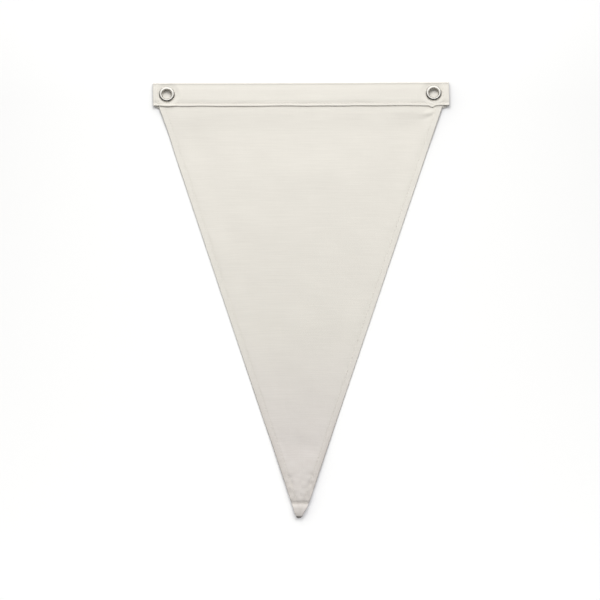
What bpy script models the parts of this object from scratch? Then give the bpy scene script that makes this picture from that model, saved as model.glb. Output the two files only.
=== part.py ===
"""A canvas pennant flag, lying face up on a flat surface.

The panel is a long triangle of canvas with its sides hemmed to the back and its point folded up into a thick blunt tip.
A folded strip of the same canvas, the heading, wraps its top edge. Two metal eyelets, each with a washer behind, go
through the heading near its ends. The panel's top corners are trimmed, inside the heading, to stay clear of them.

X runs along the heading, Y from the tip to the heading, and Z up from the surface. The origin is on the surface, under
the middle of the flag's box.
"""

import math

import bmesh
import bpy

MM = 0.001

# The whole flag and its cloth
FLAG_WIDTH = 300 * MM
FLAG_LENGTH = 438.7 * MM
CLOTH = 1.0 * MM
GAP = 0.3 * MM  # between pieces that touch on the real flag
STACK = 3 * CLOTH + 2 * GAP  # back of the heading, panel, front of the heading

# The heading: a strip folded over the panel's top edge, a little askew
HEADING_HEIGHT = 22.3 * MM
HEADING_TILT = 0.0035  # the heading's right end lies higher, by this much for each metre of width
END_SLANT = 0.025  # its ends lean by this much for each metre of height
TOP_AT_MIDDLE = FLAG_LENGTH / 2 - HEADING_TILT * FLAG_WIDTH / 2
BACK_DROP = 3.3 * MM  # the back layer reaches this much lower than the front one
BACK_CORNER_CUT = 6.0 * MM  # and its lower corners are cut away over this width
STITCH_UP = 2.7 * MM  # the seam runs this far above the front layer's lower edge
PUFF = 0.35 * MM  # the front layer stands this much off the panel, away from seam and eyelets
ROLL = 0.2 * MM  # and this much below the seam
END_PINCH = 1.2 * MM  # the two layers draw together by this much at the heading's ends
END_PINCH_WIDTH = 3.0 * MM
EYELET_BULGE = 0.3 * MM  # the lower edge is pushed down by this much under each eyelet
BULGE_HALF_WIDTH = 7 * MM

# How the heading lies: held up by the eyelets, it sinks to the surface between them
EYELET_DROP = 1.6 * MM  # eyelet and washer reach this far below the heading's back
SINKS_FROM = 60 * MM
SINKS_TO = 122 * MM
RIGHT_END_FLAT_TO = 143 * MM
RIGHT_END_CURL = 1.2 * MM

# Eyelets, in the row (x, y) of their centres
EYELETS = {
    "left": (-134.9 * MM, 207.2 * MM),
    "right": (133.3 * MM, 208.6 * MM),
}
BORE_RADIUS = 5.5 * MM
BARREL_RADIUS = 6.0 * MM
CLOTH_HOLE_RADIUS = BARREL_RADIUS + GAP
FLANGE_RADIUS = 8.2 * MM
FLANGE_HEIGHT = 1.3 * MM
FLANGE_FOOT = 0.1 * MM
CREST = (6.3 * MM, 7.1 * MM)  # the flat top of the flange lies between these radii
CURL_RADIUS = 7.05 * MM
CURL_THICKNESS = 0.6 * MM
CURL_CORNER = 0.45 * MM
WASHER_RADIUS = 8.3 * MM
WASHER_LIP = 0.4 * MM
WASHER_DOME_FROM = CURL_RADIUS + GAP
WASHER_CLEARS_FLOOR = 0.2 * MM
TURNED_STEPS = 32
HOLE_STEPS = 32

# The panel's sides, as places across the flag where they meet the level line EDGE_LEVEL, and how fast they close in
EDGE_LEVEL = 175.9 * MM
LEFT_EDGE = -137.3 * MM
RIGHT_EDGE = 137.1 * MM
LEFT_CLOSING = 0.3338
RIGHT_CLOSING = 0.3375
TIP_LEVEL = -FLAG_LENGTH / 2
TOP_LEVEL = 209 * MM  # the panel's top edge, inside the heading
TRIM_LEVEL = 197.6 * MM  # above this its corners are trimmed
TRIM_SLOPE = 0.28  # along lines that rise by this much for each metre

# Hems and tip
HEM_WIDTH = 8.0 * MM
HEM_STEP = 0.8 * MM  # the width over which a hem's inner edge steps down
HEM_ENDS = (186 * MM, 191 * MM)  # the hem thins to one layer over this stretch, under the heading
CREASE_LEVEL = -202.2 * MM  # the seam that closes the tip
CREASE_DEPTH = 0.7 * MM
CREASE_REACH = 2.2 * MM
TIP_LAYER = 1.0 * MM  # the folded point adds a layer below the crease
TIP_ROUND = 1.6 * MM
TIP_CORNER_REACH = 2.3 * MM  # the blunt end's corners are rounded off over about this height
TIP_CORNERS = {"left": 1.7 * MM, "right": 4.2 * MM}  # and by this much at its very end
TIP_BEND = 0.6 * MM  # the right side bends in by this much towards the end
TIP_BENDS_OVER = (4 * MM, 22 * MM)

# How the panel lies: the hems rest on the surface, the cloth between them sinks, and the tip curls up
SAG = 0.85 * MM
SAG_REACH = 22 * MM
MIDDLE_FROM = 26 * MM  # the sections are evenly divided from this far inside the sides
TIP_LIFT = 2.6 * MM
TIP_LIFTS_FROM = -60 * MM
HEADING_LIFT_TO = 140 * MM  # the heading's height over the surface dies out down to this level
HEADING_LIFT_FROM = 190 * MM
LEVELS_OUT_AT = 178 * MM

# Soft troughs and ridges of the panel: centre, half length, half width, direction and height
WAVES = [
    {"x": 119 * MM, "y": 185.5 * MM, "long": 18 * MM, "wide": 3.2 * MM, "turn": 9, "high": -0.5 * MM},
    {"x": 129 * MM, "y": 190.5 * MM, "long": 12 * MM, "wide": 2.6 * MM, "turn": 12, "high": 0.4 * MM},
    {"x": -11.6 * MM, "y": -177 * MM, "long": 10 * MM, "wide": 3 * MM, "turn": -71, "high": -0.4 * MM},
    {"x": 10.5 * MM, "y": -176 * MM, "long": 10 * MM, "wide": 3 * MM, "turn": 71, "high": -0.4 * MM},
    {"x": -60 * MM, "y": 60 * MM, "long": 70 * MM, "wide": 22 * MM, "turn": 20, "high": 0.4 * MM},
    {"x": 45 * MM, "y": -20 * MM, "long": 60 * MM, "wide": 18 * MM, "turn": -35, "high": 0.35 * MM},
    {"x": 20 * MM, "y": 130 * MM, "long": 80 * MM, "wide": 20 * MM, "turn": 6, "high": 0.3 * MM},
]

# Colour, roughness and metallic value
FINISHES = {
    "panel_canvas": ((0.76, 0.73, 0.67, 1), 0.9, 0.0),
    "heading_canvas": ((0.79, 0.76, 0.70, 1), 0.9, 0.0),
    "eyelet_nickel": ((0.72, 0.71, 0.69, 1), 0.25, 1.0),
    "washer_nickel": ((0.68, 0.67, 0.65, 1), 0.35, 1.0),
}


def ease(start, end, value):
    """0 at start, 1 at end, and a soft slope between them."""
    share = min(1.0, max(0.0, (value - start) / (end - start)))
    return share * share * (3 - 2 * share)


def top_edge(x):
    """The level of the heading's fold at x."""
    return TOP_AT_MIDDLE + HEADING_TILT * x


def front_lower_edge(x):
    bulge = sum(math.exp(-(((x - cx) / BULGE_HALF_WIDTH) ** 2)) for cx, _ in EYELETS.values())
    return top_edge(x) - HEADING_HEIGHT - EYELET_BULGE * bulge


def back_lower_edge(x):
    """The back layer's lower edge, which slants up at the heading's ends."""
    from_end = FLAG_WIDTH / 2 - abs(x)
    return front_lower_edge(x) - BACK_DROP * ease(0, BACK_CORNER_CUT, from_end)


def heading_base(x):
    """Height of the heading's back over the surface."""
    held = EYELET_DROP * ease(SINKS_FROM, SINKS_TO, abs(x))
    return held + RIGHT_END_CURL * ease(RIGHT_END_FLAT_TO, FLAG_WIDTH / 2, x)


def heading_lean(x, y):
    """Where a point of the heading at x lies once its ends lean: the box stays FLAG_WIDTH wide."""
    reach = FLAG_WIDTH / 2
    squeeze = 1 - END_SLANT * HEADING_HEIGHT / FLAG_WIDTH
    return -reach + (x + reach) * squeeze + END_SLANT * min(HEADING_HEIGHT, max(0, top_edge(x) - y))


def off_eyelets(x, y):
    """0 under an eyelet's flange, 1 away from both."""
    near = min(math.dist((x, y), centre) for centre in EYELETS.values())
    return ease(FLANGE_RADIUS + GAP, FLANGE_RADIUS + 6 * MM, near)


def front_rise(x, y):
    """How far the heading's front layer stands off the panel, beyond the gap."""
    above_seam = y - front_lower_edge(x) - STITCH_UP
    body = PUFF * ease(0, 4 * MM, above_seam) * (1 - ease(13 * MM, 19 * MM, above_seam))
    roll = ROLL * ease(0, 1.5 * MM, -above_seam)
    pinch = END_PINCH * ease(FLAG_WIDTH / 2 - END_PINCH_WIDTH, FLAG_WIDTH / 2, abs(x))
    return (body + roll) * off_eyelets(x, y) - pinch


def side_edges(y):
    """The panel's left and right edge at a level."""
    above_tip = y - TIP_LEVEL
    rounding = math.exp(-above_tip / TIP_CORNER_REACH)
    bend = TIP_BEND * (1 - ease(*TIP_BENDS_OVER, above_tip))
    level = min(y, TRIM_LEVEL)
    trim = (y - level) / TRIM_SLOPE
    left = LEFT_EDGE + LEFT_CLOSING * (EDGE_LEVEL - level) + TIP_CORNERS["left"] * rounding + trim
    right = RIGHT_EDGE - RIGHT_CLOSING * (EDGE_LEVEL - level) - TIP_CORNERS["right"] * rounding - bend - trim
    return left, right


def layers(in_hem, y):
    """The panel's thickness: one layer, two in the hems and one more in the tip, which the hems fill."""
    tip = 1 - ease(CREASE_LEVEL - 3 * MM, CREASE_LEVEL + 1 * MM, y)
    hem = (1 - ease(*HEM_ENDS, y)) if in_hem else tip
    return CLOTH * (1 + hem) + TIP_LAYER * tip


def wave_height(x, y):
    total = 0.0
    for wave in WAVES:
        turn = math.radians(wave["turn"])
        along = (x - wave["x"]) * math.cos(turn) + (y - wave["y"]) * math.sin(turn)
        across = (y - wave["y"]) * math.cos(turn) - (x - wave["x"]) * math.sin(turn)
        total += wave["high"] * math.exp(-((along / wave["long"]) ** 2) - (across / wave["wide"]) ** 2)
    return total


def panel_top(x, y, inset):
    """Height of the panel's face. inset is how far x lies inside the nearer side."""
    in_heading = heading_base(x) + 2 * CLOTH + GAP
    lift = heading_base(x) * ease(HEADING_LIFT_TO, HEADING_LIFT_FROM, y)
    lift += TIP_LIFT * ease(-TIP_LIFTS_FROM, -TIP_LEVEL, -y)
    sag = SAG * ease(HEM_WIDTH, HEM_WIDTH + SAG_REACH, inset)
    inner = ease(HEM_WIDTH, HEM_WIDTH + 8 * MM, inset)
    free = lift + 2 * CLOTH - sag + wave_height(x, y) * inner
    free += TIP_LAYER * (1 - ease(CREASE_LEVEL - 6 * MM, CREASE_LEVEL + 1 * MM, y))
    free -= CREASE_DEPTH * math.exp(-(((y - CREASE_LEVEL) / CREASE_REACH) ** 2))
    joined = ease(LEVELS_OUT_AT, HEADING_LIFT_FROM, y)
    return in_heading * joined + free * (1 - joined)


def collection(name):
    made = bpy.data.collections.new(name)
    bpy.context.scene.collection.children.link(made)
    return made


def material(name):
    colour, roughness, metallic = FINISHES[name]
    made = bpy.data.materials.new(name)
    made.use_nodes = True
    shader = made.node_tree.nodes["Principled BSDF"]
    shader.inputs["Base Color"].default_value = colour
    shader.inputs["Roughness"].default_value = roughness
    shader.inputs["Metallic"].default_value = metallic
    made.diffuse_color = colour
    return made


def loft(name, rings, group, finish):
    """A closed solid through rings of points: every ring has as many points, and the first and last are closed off."""
    bm = bmesh.new()
    rows = [[bm.verts.new(point) for point in ring] for ring in rings]
    count = len(rings[0])
    for row, after in zip(rows, rows[1:]):
        for i in range(count):
            j = (i + 1) % count
            bm.faces.new((row[i], row[j], after[j], after[i]))
    bm.faces.new(rows[0])
    bm.faces.new(rows[-1])
    bmesh.ops.recalc_face_normals(bm, faces=bm.faces)
    mesh = bpy.data.meshes.new(name)
    bm.to_mesh(mesh)
    bm.free()
    mesh.shade_smooth()
    mesh.set_sharp_from_angle(angle=math.radians(40))
    mesh.materials.append(finish)
    made = bpy.data.objects.new(name, mesh)
    group.objects.link(made)
    return made


def steps(start, end, count):
    """Evenly spaced values from start to end, both included."""
    return [start + (end - start) * i / (count - 1) for i in range(count)]


def panel_ring(y):
    """The panel's section at a level: its face from left to right, round the right edge, its back, round the left."""
    left, right = side_edges(y)
    half = (right - left) / 2
    above_tip = y - TIP_LEVEL
    flatten = math.sqrt(max(0.12, 1 - max(0.0, 1 - above_tip / TIP_ROUND) ** 2))
    radius = min(layers(True, y) / 2, 0.4 * half)
    reach = min(MIDDLE_FROM, 0.85 * half)
    hem_edge = min(HEM_WIDTH, 0.75 * reach)
    past_hem = min(HEM_WIDTH + HEM_STEP, 0.83 * reach)
    hem_insets = [radius, max(hem_edge / 2, 1.2 * radius), hem_edge]
    insets = hem_insets + [past_hem + (reach - past_hem) * share for share in (0, 0.3, 0.65, 1)]
    inner = steps(left + reach, right - reach, 11)[1:-1]
    xs = [left + inset for inset in insets] + inner + [right - inset for inset in reversed(insets)]
    face, back = [], []
    for i, x in enumerate(xs):
        in_hem = min(i, len(xs) - 1 - i) < len(hem_insets)
        at_edge = i in (0, len(xs) - 1)
        inset = 0.0 if at_edge else min(x - left, right - x)
        thick = layers(in_hem, y)
        middle = max(panel_top(x, y, inset), thick) - thick / 2
        face.append((x, y, middle + thick / 2 * flatten))
        back.append((x, y, middle - thick / 2 * flatten))

    def edge(x, way, first):
        """Three points round a folded edge, from the face down to the back."""
        middle = (face[first][2] + back[first][2]) / 2
        tall = (face[first][2] - back[first][2]) / 2
        turns = (math.radians(45), 0.0, math.radians(-45))
        return [(x + way * radius * math.cos(t), y, middle + tall * math.sin(t)) for t in turns]

    right_edge = edge(xs[-1], 1, -1)
    left_edge = edge(xs[0], -1, 0)
    return face + right_edge + back[::-1] + left_edge[::-1]


def make_panel(group, finish):
    marks = [TOP_LEVEL / MM, 206, 202, 199, TRIM_LEVEL / MM, 195, 192.5, 190.5, 188, 186, 183.5, 180, 175, 168]
    marks += steps(156, -132, 21)
    marks += [-143, -153, -162, -170, -177, -184, -190, -194, -197.5, -200, CREASE_LEVEL / MM]
    marks += [-204.4, -207, -210, -213.5]
    ends = [2.4, 1.6, 1.0, 0.5, 0.15, 0.0]
    levels = [mark * MM for mark in marks] + [TIP_LEVEL + end * MM for end in ends]
    return loft("pennant_panel", [panel_ring(y) for y in levels], group, finish)


def heading_ring(x):
    """The heading's section at x: its outside from the back's lower edge, over the fold, to the front's lower edge,
    then its inside all the way back."""
    back_low, front_low, top = back_lower_edge(x), front_lower_edge(x), top_edge(x)
    outer_radius = (STACK + front_rise(x, top - 2 * MM)) / 2
    inner_radius = outer_radius - CLOTH
    centre_y, centre_z = top - outer_radius, outer_radius
    back_levels = steps(back_low + 0.3 * MM, centre_y, 6)
    front_levels = steps(centre_y, front_low + STITCH_UP + 1.5 * MM, 7)
    front_levels += [front_low + up for up in (STITCH_UP, 1.4 * MM, 0.3 * MM)]
    fold = [math.radians(turn) for turn in (-60, -30, 0, 30, 60)]

    def front_height(y):
        return STACK + front_rise(x, y)

    outside = [(y, 0.0) for y in back_levels]
    outside += [(centre_y + outer_radius * math.cos(t), centre_z + outer_radius * math.sin(t)) for t in fold]
    outside += [(y, front_height(y)) for y in front_levels]
    front_end = [(front_low, front_height(front_low) - CLOTH / 2)]
    inside = [(y, front_height(y) - CLOTH) for y in reversed(front_levels)]
    inside += [(centre_y + inner_radius * math.cos(t), centre_z + inner_radius * math.sin(t)) for t in reversed(fold)]
    inside += [(y, CLOTH) for y in reversed(back_levels)]
    back_end = [(back_low, CLOTH / 2)]
    ring = []
    for y, z in outside + front_end + inside + back_end:
        leaned = heading_lean(x, y)
        ring.append((leaned, y, heading_base(leaned) + z))
    return ring


def make_heading(group, finish):
    near_end = [150, 149, 147.5, 146, 143, 139, 135, 131, 127, 122, 116, 109, 100, 88, 75, 60]
    middle = [45, 30, 15]
    right = [mark * MM for mark in near_end + middle]
    stations = [-x for x in right] + [0.0] + right[::-1]
    return loft("heading_band", [heading_ring(x) for x in stations], group, finish)


def arc(centre, radii, start, end, count):
    """Points round part of an ellipse, in degrees, both ends included."""
    turns = [math.radians(turn) for turn in steps(start, end, count)]
    return [(centre[0] + radii[0] * math.cos(t), centre[1] + radii[1] * math.sin(t)) for t in turns]


def turned(name, outline, centre, group, finish):
    """A ring turned from a closed outline of (radius, height), which runs down its outer side."""
    mesh = bpy.data.meshes.new(name)
    count = len(outline)
    mesh.from_pydata([(r, 0, z) for r, z in outline], [(i, (i + 1) % count) for i in range(count)], [])
    mesh.materials.append(finish)
    made = bpy.data.objects.new(name, mesh)
    made.location = (*centre, 0)
    group.objects.link(made)
    screw = made.modifiers.new("turn", "SCREW")
    screw.steps = screw.render_steps = TURNED_STEPS
    screw.use_merge_vertices = True
    screw.merge_threshold = 0.00001
    screw.use_smooth_shade = True
    return made


def eyelet_outline():
    """Flange on top, barrel through the cloth, and the curl that is rolled out over the washer."""
    foot = EYELET_DROP + STACK + GAP
    crown = foot + FLANGE_HEIGHT
    inner = CREST[0] - BORE_RADIUS
    outer = FLANGE_RADIUS - CREST[1]
    rise = FLANGE_HEIGHT - FLANGE_FOOT
    half = CURL_THICKNESS / 2
    points = arc((CREST[0], crown - inner), (inner, inner), 180, 90, 4)
    points += arc((CREST[1], foot + FLANGE_FOOT), (outer, rise), 90, 0, 5)
    points += [(FLANGE_RADIUS, foot), (BARREL_RADIUS, foot), (BARREL_RADIUS, CURL_THICKNESS)]
    points += arc((CURL_RADIUS - half, half), (half, half), 90, -90, 5)
    points += arc((BORE_RADIUS + CURL_CORNER, CURL_CORNER), (CURL_CORNER, CURL_CORNER), 270, 180, 3)
    return points


def washer_outline():
    """A flat lip that the curl grips, inside a rounded rim."""
    top = EYELET_DROP - GAP
    lip = top - WASHER_LIP
    rim = (WASHER_RADIUS - WASHER_DOME_FROM) / 2
    points = [(CLOTH_HOLE_RADIUS, top), (WASHER_RADIUS - 0.1 * MM, top)]
    points += arc((WASHER_RADIUS - rim, lip), (rim, lip - WASHER_CLEARS_FLOOR), 0, -180, 7)
    return points + [(CLOTH_HOLE_RADIUS, lip)]


def make_cutters():
    """A cylinder at each eyelet, longer than the stack of cloth is thick."""
    group = collection("cutters")
    cutters = []
    for side, centre in EYELETS.items():
        bm = bmesh.new()
        bmesh.ops.create_cone(
            bm,
            cap_ends=True,
            segments=HOLE_STEPS,
            radius1=CLOTH_HOLE_RADIUS,
            radius2=CLOTH_HOLE_RADIUS,
            depth=30 * MM,
        )
        mesh = bpy.data.meshes.new("hole_" + side)
        bm.to_mesh(mesh)
        bm.free()
        cutter = bpy.data.objects.new("hole_" + side, mesh)
        cutter.location = (*centre, 0)
        cutter.hide_render = True
        cutter.display_type = "WIRE"
        group.objects.link(cutter)
        cutters.append(cutter)
    return cutters


def cut(target, cutters):
    for cutter in cutters:
        hole = target.modifiers.new(cutter.name, "BOOLEAN")
        hole.operation = "DIFFERENCE"
        hole.object = cutter


def main():
    for old in list(bpy.data.objects):
        bpy.data.objects.remove(old)
    flag = collection("canvas_pennant_flag")
    finishes = {name: material(name) for name in FINISHES}
    cutters = make_cutters()
    make_panel(flag, finishes["panel_canvas"])
    cut(make_heading(flag, finishes["heading_canvas"]), cutters)
    for side, centre in EYELETS.items():
        turned("eyelet_" + side, eyelet_outline(), centre, flag, finishes["eyelet_nickel"])
        turned("washer_" + side, washer_outline(), centre, flag, finishes["washer_nickel"])


main()
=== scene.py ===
# %% [markdown]
# # A canvas pennant flag, photographed from straight above
#
# The flag is one long triangle of natural cotton canvas. Its sides are hemmed, its point is folded up behind and
# stitched down, and a folded strip of the same canvas, the heading, wraps its top edge. Two nickel-plated eyelets go
# through the heading.
#
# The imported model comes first. It holds the solids that everything here is fitted to, and its box is kept so that the
# finished cloth can be measured against it.

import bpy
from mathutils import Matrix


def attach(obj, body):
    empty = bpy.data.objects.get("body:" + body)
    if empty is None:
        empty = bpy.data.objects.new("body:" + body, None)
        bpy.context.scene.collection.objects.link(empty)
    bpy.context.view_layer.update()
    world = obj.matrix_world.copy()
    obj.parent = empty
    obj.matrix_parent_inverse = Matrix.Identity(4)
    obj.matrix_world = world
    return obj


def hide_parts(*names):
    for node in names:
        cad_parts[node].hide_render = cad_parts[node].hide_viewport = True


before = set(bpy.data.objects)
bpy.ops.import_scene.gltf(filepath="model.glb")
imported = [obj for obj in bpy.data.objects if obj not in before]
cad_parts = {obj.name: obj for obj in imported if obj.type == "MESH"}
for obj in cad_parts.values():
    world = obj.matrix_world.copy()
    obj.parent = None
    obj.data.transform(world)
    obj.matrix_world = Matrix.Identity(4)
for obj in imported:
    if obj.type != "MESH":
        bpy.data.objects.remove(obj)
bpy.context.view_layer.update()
print("solids:", sorted(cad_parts))

# %% [markdown]
# ## Shared sizes
#
# Lengths are written in millimetres and turned to metres by MM. Most of the shapes below are soft, so they are drawn
# from a few smooth functions of place. `ease` is a soft step, and `ripples` is a sum of waves in random directions,
# seeded so that every run gives the same cloth.

# %% Units, a soft step and ripples
import math

import bpy
import numpy as np
from mathutils import Vector

MM = 0.001


def ease(start, end, value):
    """0 at start, 1 at end, and a soft slope between them."""
    share = np.clip((value - start) / (end - start), 0, 1)
    return share * share * (3 - 2 * share)


def hump(centre, width, value):
    """1 at the centre, and next to nothing two widths away."""
    return np.exp(-(((value - centre) / width) ** 2))


def ripples(x, y, length, seed, stretch=1.0, count=16):
    """Waves of 0.7 to 1.6 times this length, longer by stretch along X. Their height is mostly within 1.5 of 0."""
    rng = np.random.default_rng(seed)
    total = 0
    for _ in range(count):
        turn, phase = rng.uniform(0, 2 * math.pi, 2)
        wave = length * rng.uniform(0.7, 1.6)
        total = total + np.sin(
            2 * math.pi * (x * math.cos(turn) / stretch + y * math.sin(turn)) / wave + phase
        )
    return total / math.sqrt(count / 2)


print("a soft step a quarter of the way:", ease(0, 1, 0.25))

# %% [markdown]
# ## How the heading lies
#
# The heading is a strip folded over the panel's top edge, so its section is a flat U. The eyelets' washers hold its
# two ends up from the surface, and between them it sinks down. These functions follow the named sizes of the solid,
# a few of them measured again. Writing them as functions of place, and not as points, lets the panel, the stitches
# and the heading all ask the same question: where is the cloth here?

# %% The heading's edges, lift and lean
FLAG_WIDTH = 300 * MM
HALF_WIDTH = FLAG_WIDTH / 2
FLAG_LENGTH = 438.7 * MM
HEADING_HEIGHT = 23.5 * MM
HEADING_TILT = 0.0035  # how much its top edge rises to the right, for its length
TOP_AT_MIDDLE = FLAG_LENGTH / 2 - HEADING_TILT * FLAG_WIDTH / 2
END_SLANT = 0.025  # how much its ends lean to the right going down, for their height
DRAWN_IN = 0.85 * MM  # the seams draw each end in by this
BACK_DROP = 2.3 * MM
BACK_CORNER_CUT = 6.0 * MM
LEFT_END_UP = 0.6 * MM
BULGE, PINCH, WAVER = 0.3 * MM, 1.8 * MM, 0.12 * MM  # how far the lower edge hangs out and wanders
STITCH_UP = 2.7 * MM  # from the lower edge to the seam
LEFT_SEAM, RIGHT_SEAM = -145.2 * MM, 143.9 * MM  # across the heading's ends
STACK = 3.6 * MM  # heading, panel and heading, one on the other
EYELET_DROP = 1.6 * MM  # the washers hold the heading this far up
RIGHT_END_UP = 0.6 * MM  # and its right end stands this much higher still
EYELETS = {"left": (-134.9 * MM, 207.2 * MM), "right": (133.3 * MM, 208.6 * MM)}


def top_edge(x):
    return TOP_AT_MIDDLE + HEADING_TILT * x


def left_end(x):
    """1 at the heading's left end, where it was sewn a little short, and 0 past the eyelet."""
    return 1 - ease(-148 * MM, -136 * MM, x)


def front_low(x):
    """The front layer's lower edge: it bulges under each eyelet, and a pinch of it hangs out under the right one."""
    level = top_edge(x) - HEADING_HEIGHT + LEFT_END_UP * left_end(x)
    bulge = sum(hump(cx, 7 * MM, x) for cx, _ in EYELETS.values()) + hump(126 * MM, 8 * MM, x)
    pinch = hump(132.4 * MM, 2.0 * MM, x)
    waver = ripples(x, 0 * x, 34 * MM, seed=4)
    return level - BULGE * bulge - PINCH * pinch + WAVER * waver


def back_low(x):
    """The back layer's lower edge, which hangs out below the front's, with its corners cut away."""
    from_end = HALF_WIDTH - abs(x)
    level = top_edge(x) - HEADING_HEIGHT + LEFT_END_UP * left_end(x)
    return level - BACK_DROP * ease(0, BACK_CORNER_CUT, from_end)


def heading_lift(x):
    """How far the washers hold the heading off the surface."""
    held = EYELET_DROP * ease(60 * MM, 122 * MM, abs(x))
    return held + RIGHT_END_UP * ease(143 * MM, HALF_WIDTH, x)


def lean(x, y):
    """The heading's ends lean a little to the right going down, and its seams draw it in a little."""
    reach = HALF_WIDTH - DRAWN_IN
    x = x * reach / HALF_WIDTH
    squeeze = 1 - END_SLANT * HEADING_HEIGHT / FLAG_WIDTH
    return -reach + (x + reach) * squeeze + END_SLANT * np.clip(top_edge(x) - y, 0, HEADING_HEIGHT)


back_height = HEADING_HEIGHT + BACK_DROP
print("heading:", round(HEADING_HEIGHT / MM, 1), "mm high in front,", round(back_height / MM, 1), "behind")

# %% [markdown]
# ### The heading's front
#
# A solid leaves out what makes cloth look sewn and ironed: the groove that a seam presses in, the plump roll below
# it, the crease under the top fold, and the dish that each eyelet pulls around itself. Each is a line or two of one
# height function, and they are added up, so that they run into each other as they do in cloth.

# %% How high the front stands
FLANGE_RADIUS = 8.2 * MM
EYELET_DISH = 0.42 * MM  # how far the flange presses the cloth down
EYELET_RIDGE = 0.18 * MM  # how far the cloth rises in a ring outside it
PUFF, ROLL = 0.3 * MM, 0.17 * MM  # how plump it is above its seam, and below
SEAM_GROOVE = 0.15 * MM
FOLD_CREASE = 0.38 * MM
CORNER_FOLD = 0.8 * MM
HEADING_SLACK = 0.06 * MM


def from_eyelet(x, y):
    """How far a place is from the middle of the nearer eyelet."""
    return np.minimum(*[np.hypot(x - cx, y - cy) for cx, cy in EYELETS.values()])


def front_rise(x, y):
    """How far the heading's front stands over the flat stack."""
    above_seam = y - front_low(x) - STITCH_UP
    below_top = top_edge(x) - y
    near = from_eyelet(x, y)

    # Plump above the seam and in the roll below it, and pressed down round the eyelets and along the seam
    puff = PUFF * ease(0, 4 * MM, above_seam) * (1 - 0.5 * ease(9 * MM, 20 * MM, above_seam))
    roll = ROLL * ease(0, 1.5 * MM, -above_seam)
    rise = (puff + roll) * ease(FLANGE_RADIUS, FLANGE_RADIUS + 5 * MM, near)
    rise += EYELET_RIDGE * hump(12 * MM, 2.2 * MM, near)
    rise -= EYELET_DISH * (1 - ease(FLANGE_RADIUS, FLANGE_RADIUS + 3 * MM, near))
    rise -= SEAM_GROOVE * hump(0, 0.9 * MM, above_seam)

    # The crease that ironing left below the top fold, the seams at the two ends, and the fold at the left corner
    back_up = 0.6 * ease(1.9 * MM, 8 * MM, below_top) + 0.4 * ease(8 * MM, 20 * MM, below_top)
    rise -= FOLD_CREASE * ease(0.9 * MM, 1.9 * MM, below_top) * (1 - back_up)
    rise -= 0.2 * MM * (hump(-148.2 * MM, 0.6 * MM, x) + hump(148.4 * MM, 0.6 * MM, x))
    rise -= 0.4 * MM * hump(LEFT_SEAM, 0.55 * MM, x) + 0.3 * MM * hump(RIGHT_SEAM, 0.6 * MM, x)
    rise += CORNER_FOLD * hump(-136 * MM, 6.5 * MM, x) * ease(0, 2.6 * MM, -above_seam)
    rise -= 0.25 * MM * ease(HALF_WIDTH - 1 * MM, HALF_WIDTH, abs(x))

    # Slack between the seams
    soft = ease(0, 3 * MM, above_seam) * (1 - ease(15 * MM, 19 * MM, above_seam))
    rise += HEADING_SLACK * ripples(x, y, 26 * MM, seed=11, stretch=1.4) * soft * ease(9 * MM, 14 * MM, near)
    return rise


front_middle = front_rise(0, TOP_AT_MIDDLE - HEADING_HEIGHT / 2)
print("middle of the front:", round(float(front_middle) / MM, 2), "mm over the flat stack")

# %% [markdown]
# ## How the panel lies
#
# The panel's sides are two nearly straight lines that close in at slightly different slopes, as hand-cut ones do. At
# the point they round off into a blunt nose, a little further on the right. Every part of the panel asks the same
# function where its sides are.

# %% The panel's sides
EDGE_LEVEL = 175.9 * MM  # just below the heading, where the two edges are given
LEFT_EDGE = -136.75 * MM
RIGHT_EDGE = 135.9 * MM
LEFT_CLOSING = 0.3333  # how much each side closes in, for its length
RIGHT_CLOSING = 0.3365
TIP_LEVEL = -FLAG_LENGTH / 2
NOSE_ROUNDING = 2.3 * MM
LEFT_NOSE_CUT, RIGHT_NOSE_CUT = 1.7 * MM, 4.2 * MM


def side_edges(y):
    """The panel's left and right edge at this level: nearly straight, and rounded off at the point."""
    above_tip = y - TIP_LEVEL
    rounding = np.exp(-above_tip / NOSE_ROUNDING)
    bend_right = 0.6 * MM * (1 - ease(4 * MM, 22 * MM, above_tip)) + 0.9 * MM * hump(5.5 * MM, 3.5 * MM, above_tip)
    bend_left = 0.45 * MM * ease(118 * MM, 145 * MM, -y) * (1 - ease(208 * MM, 216 * MM, -y))
    bend_left = bend_left + 0.5 * MM * hump(168 * MM, 14 * MM, y)
    left = LEFT_EDGE + LEFT_CLOSING * (EDGE_LEVEL - y) + LEFT_NOSE_CUT * rounding + bend_left
    right = RIGHT_EDGE - RIGHT_CLOSING * (EDGE_LEVEL - y) - RIGHT_NOSE_CUT * rounding - bend_right
    return left, right


print("panel:", [round(float(edge) / MM, 1) for edge in side_edges(196 * MM)], "mm at the heading")

# %% [markdown]
# ### The panel's height
#
# Canvas this size is stiff enough to lie almost flat: it rests on its two hems, sinks between them, and curls up
# where the folded point makes it thick. A few named troughs and ridges give it the creases that show most: the slack
# that runs out from under the right eyelet, and the drawn-in places above the point. Each is a hump drawn out along
# its own direction, with its place and sizes in millimetres and its turn in degrees.

# %% How high the panel's face lies
CREASE_LEVEL = -202.2 * MM  # the folded point starts here
TIP_SEAM_DROP = 1.9 * MM  # and is stitched this far below
HEM_WIDTH = 8.0 * MM
HEM_SEAM = 6.0 * MM  # the hems are stitched this far inside the edge
HEM_STACK = 2.0 * MM  # the face's height over the hems' undersides
HEADING_PAD = 2.3 * MM  # its height inside the heading
SAG = 0.85 * MM  # how far it sinks between the hems
TIP_CURL = 3.5 * MM  # how far the point stands up
TIP_PLUMP, TIP_GROOVE, NOSE_FALL, PINCH_DEPTH = 0.55 * MM, 1.15 * MM, 0.95 * MM, 1.0 * MM

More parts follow.
